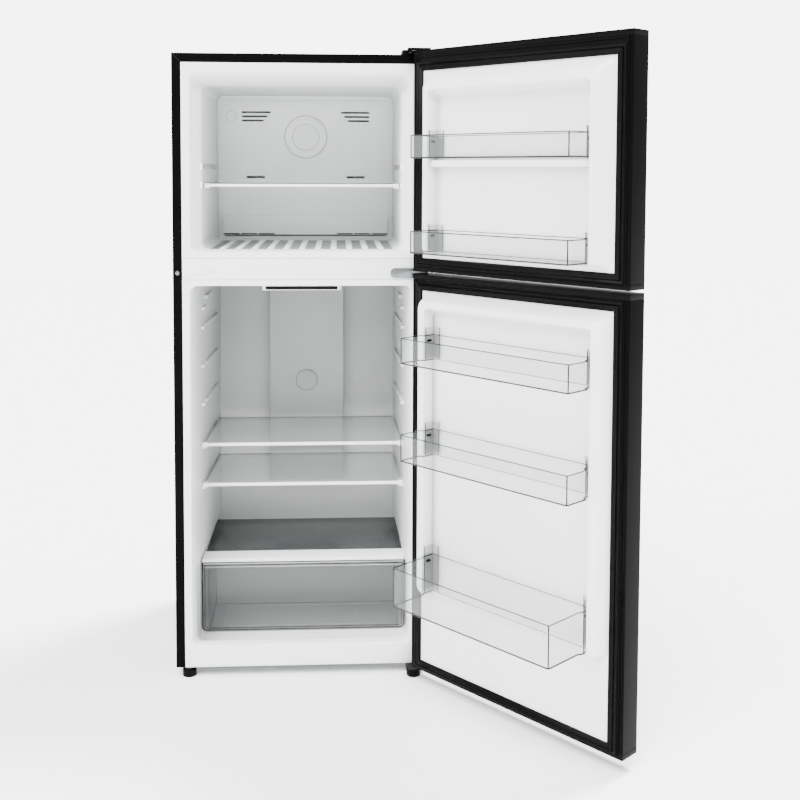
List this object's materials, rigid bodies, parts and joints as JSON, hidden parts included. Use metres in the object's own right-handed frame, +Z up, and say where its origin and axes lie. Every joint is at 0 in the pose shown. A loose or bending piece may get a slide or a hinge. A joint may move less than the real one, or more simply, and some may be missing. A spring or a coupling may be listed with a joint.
{
  "type": "top freezer refrigerator",
  "caption": "Upright refrigerator with a freezer above and a fresh-food space below, side-hung doors with bins, glass shelves and a crisper drawer.",
  "frame": {"origin": "centre of the left front foot's underside", "axes": "+X to the right along the front, +Y from the front to the back, +Z up"},
  "size_m": [1.1582, 1.2156, 1.744],
  "materials": {
    "black_steel": "satin near-black coil-coated steel",
    "white_liner": "satin white polystyrene",
    "black_plastic": "fine-grained black plastic",
    "clear_plastic": "clear moulded polystyrene",
    "clear_glass": "clear tempered glass",
    "grey_glass": "grey tempered glass",
    "gasket_rubber": "soft black vinyl",
    "zinc_plate": "zinc-plated steel",
    "aluminium": "bare aluminium",
    "foam": "cream rigid polyurethane foam"
  },
  "bodies": {
    "cabinet": {"cabinet_shell": "black_steel", "compressor": "black_steel", "condenser_coil": "black_steel", "freezer_liner": "white_liner", "fridge_liner": "white_liner", "mullion_cover": "white_liner", "kick_panel": "white_liner", "hinge_hole_plug": "white_liner", "evaporator_cover": "white_liner", "fan_disc": "white_liner", "air_duct": "white_liner", "duct_badge": "white_liner", "control_housing": "white_liner", "crisper_cover_frame": "white_liner", "fan_motor": "black_plastic", "control_lens": "black_plastic", "drain_pan": "black_plastic", "top_hinge_cover": "black_plastic", "lamp_cover": "clear_plastic", "crisper_cover_glass": "grey_glass", "flange_screw": "zinc_plate", "base_frame": "zinc_plate", "back_panel": "zinc_plate", "machine_room_cover": "zinc_plate", "top_hinge": "zinc_plate", "middle_hinge": "zinc_plate", "bottom_hinge": "zinc_plate", "evaporator_coil": "aluminium", "defrost_heater": "aluminium", "cabinet_foam": "foam"},
    "freezer_door": {"freezer_door_skin": "black_steel", "freezer_door_liner": "white_liner", "freezer_door_foam": "foam", "freezer_door_gasket": "gasket_rubber", "freezer_door_top_cap": "black_plastic", "freezer_door_bottom_cap": "black_plastic", "freezer_upper_bin": "clear_plastic", "freezer_lower_bin": "clear_plastic"},
    "fridge_door": {"fridge_door_skin": "black_steel", "fridge_door_liner": "white_liner", "fridge_door_foam": "foam", "fridge_door_gasket": "gasket_rubber", "fridge_door_top_cap": "black_plastic", "fridge_door_bottom_cap": "black_plastic", "fridge_upper_bin": "clear_plastic", "fridge_middle_bin": "clear_plastic", "fridge_bottle_bin": "clear_plastic", "door_closer": "black_plastic"},
    "crisper": {"crisper_drawer": "clear_plastic"},
    "freezer_shelf": {"freezer_shelf_frame": "white_liner", "freezer_shelf_glass": "clear_glass"},
    "upper_shelf": {"upper_shelf_frame": "white_liner", "upper_shelf_glass": "clear_glass"},
    "lower_shelf": {"lower_shelf_frame": "white_liner", "lower_shelf_glass": "clear_glass"},
    "fan": {"evaporator_fan": "black_plastic"},
    "left_foot": {"front_foot_left": "black_plastic"},
    "right_foot": {"front_foot_right": "black_plastic"},
    "left_roller": {"rear_roller_left": "black_plastic"},
    "right_roller": {"rear_roller_right": "black_plastic"}
  },
  "joints": [
    {"name": "freezer_door_hinge", "type": "hinge", "parent": "cabinet", "child": "freezer_door", "pos_m": [0.6497, -0.0515, 1.428], "axis": [0, 0, 1], "range_deg": [-131, 1]},
    {"name": "fridge_door_hinge", "type": "hinge", "parent": "cabinet", "child": "fridge_door", "pos_m": [0.6497, -0.0515, 0.588], "axis": [0, 0, 1], "range_deg": [-131, 1]},
    {"name": "crisper_slide", "type": "slide", "parent": "cabinet", "child": "crisper", "axis": [0, -1, 0], "range_m": [0, 0.125]},
    {"name": "freezer_shelf_slide", "type": "slide", "parent": "cabinet", "child": "freezer_shelf", "axis": [0, -1, 0], "range_m": [0, 0.11]},
    {"name": "upper_shelf_slide", "type": "slide", "parent": "cabinet", "child": "upper_shelf", "axis": [0, -1, 0], "range_m": [0, 0.11]},
    {"name": "lower_shelf_slide", "type": "slide", "parent": "cabinet", "child": "lower_shelf", "axis": [0, -1, 0], "range_m": [0, 0.11]},
    {"name": "evaporator_fan_spin", "type": "hinge", "parent": "cabinet", "child": "fan", "pos_m": [0.315, 0.444, 1.5175], "axis": [0, 1, 0], "continuous": true},
    {"name": "left_foot_screw", "type": "hinge", "parent": "cabinet", "child": "left_foot", "pos_m": [0, 0, 0.014], "axis": [0, 0, 1], "continuous": true},
    {"name": "right_foot_screw", "type": "hinge", "parent": "cabinet", "child": "right_foot", "pos_m": [0.627, -0.029, 0.014], "axis": [0, 0, 1], "continuous": true},
    {"name": "left_roller_spin", "type": "hinge", "parent": "cabinet", "child": "left_roller", "pos_m": [0.015, 0.556, 0.014], "axis": [1, 0, 0], "continuous": true},
    {"name": "right_roller_spin", "type": "hinge", "parent": "cabinet", "child": "right_roller", "pos_m": [0.615, 0.556, 0.014], "axis": [1, 0, 0], "continuous": true}
  ]
}
